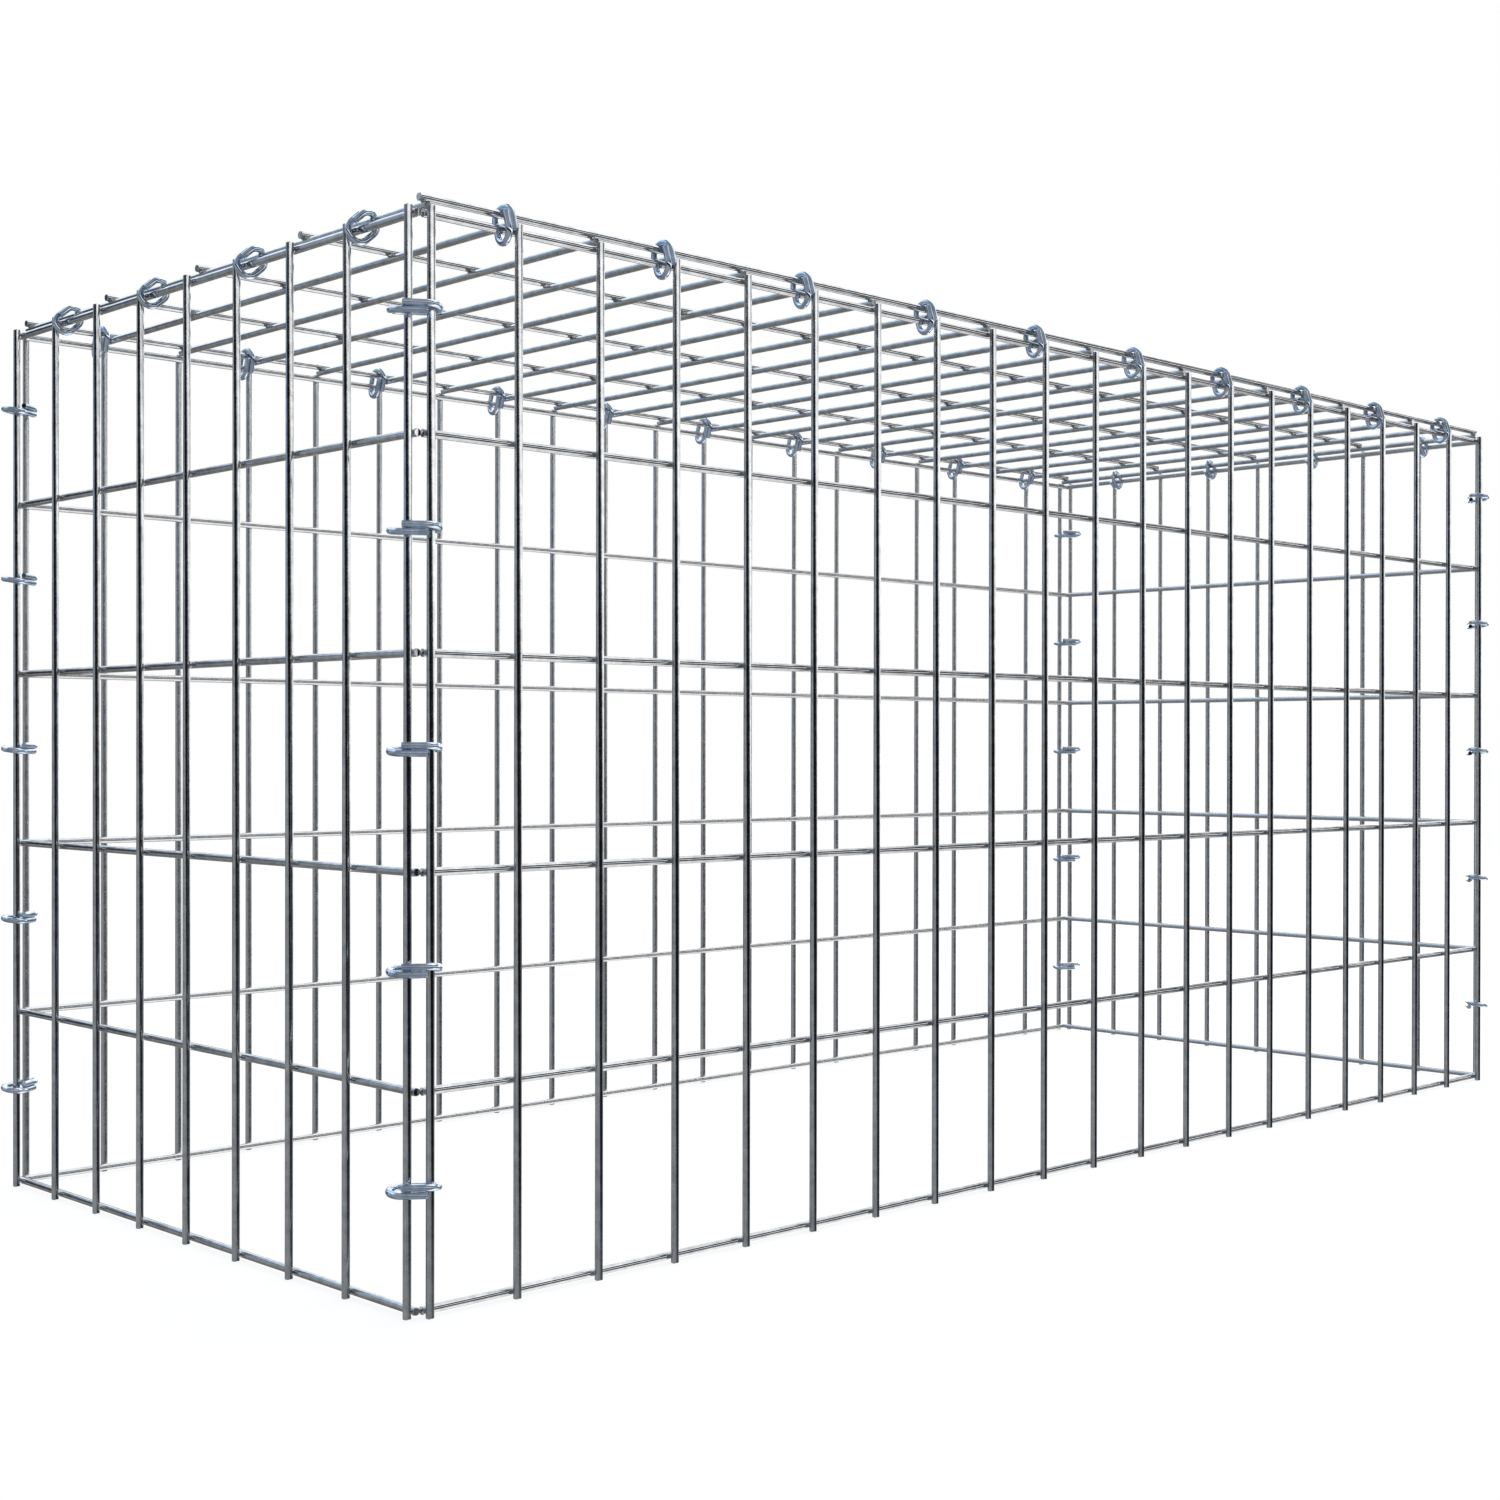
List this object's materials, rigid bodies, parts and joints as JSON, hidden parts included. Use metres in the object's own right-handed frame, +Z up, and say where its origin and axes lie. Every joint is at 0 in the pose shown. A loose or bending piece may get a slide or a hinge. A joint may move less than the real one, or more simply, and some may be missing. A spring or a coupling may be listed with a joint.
{
  "type": "gabion basket",
  "caption": "Long open-bottomed basket of welded steel wire mesh with a mesh lid, its panels joined along the edges by closed ring clips.",
  "frame": {"origin": "under the middle of the basket, at the height of the lower ends of the upright wires", "axes": "+X along the front to the right, +Y from the front wall to the back wall, +Z up"},
  "size_m": [1.036, 0.4248, 0.5166],
  "materials": {
    "mesh_wire": "hot-dip galvanised, satin",
    "clip_wire": "galvanised, brighter"
  },
  "bodies": {
    "root": {"back_wall": "mesh_wire", "clip_back_left_1": "clip_wire", "clip_back_left_2": "clip_wire", "clip_back_left_3": "clip_wire", "clip_back_left_4": "clip_wire", "clip_back_left_5": "clip_wire", "clip_back_right_1": "clip_wire", "clip_back_right_2": "clip_wire", "clip_back_right_3": "clip_wire", "clip_back_right_4": "clip_wire", "clip_back_right_5": "clip_wire", "clip_back_top_1": "clip_wire", "clip_back_top_10": "clip_wire", "clip_back_top_2": "clip_wire", "clip_back_top_3": "clip_wire", "clip_back_top_4": "clip_wire", "clip_back_top_5": "clip_wire", "clip_back_top_6": "clip_wire", "clip_back_top_7": "clip_wire", "clip_back_top_8": "clip_wire", "clip_back_top_9": "clip_wire", "clip_front_left_1": "clip_wire", "clip_front_left_2": "clip_wire", "clip_front_left_3": "clip_wire", "clip_front_left_4": "clip_wire", "clip_front_left_5": "clip_wire", "clip_front_right_1": "clip_wire", "clip_front_right_2": "clip_wire", "clip_front_right_3": "clip_wire", "clip_front_right_4": "clip_wire", "clip_front_right_5": "clip_wire", "clip_front_top_1": "clip_wire", "clip_front_top_10": "clip_wire", "clip_front_top_2": "clip_wire", "clip_front_top_3": "clip_wire", "clip_front_top_4": "clip_wire", "clip_front_top_5": "clip_wire", "clip_front_top_6": "clip_wire", "clip_front_top_7": "clip_wire", "clip_front_top_8": "clip_wire", "clip_front_top_9": "clip_wire", "clip_left_top_1": "clip_wire", "clip_left_top_2": "clip_wire", "clip_left_top_3": "clip_wire", "clip_left_top_4": "clip_wire", "clip_right_top_1": "clip_wire", "clip_right_top_2": "clip_wire", "clip_right_top_3": "clip_wire", "clip_right_top_4": "clip_wire", "front_wall": "mesh_wire", "left_wall": "mesh_wire", "lid": "mesh_wire", "right_wall": "mesh_wire"}
  },
  "joints": []
}
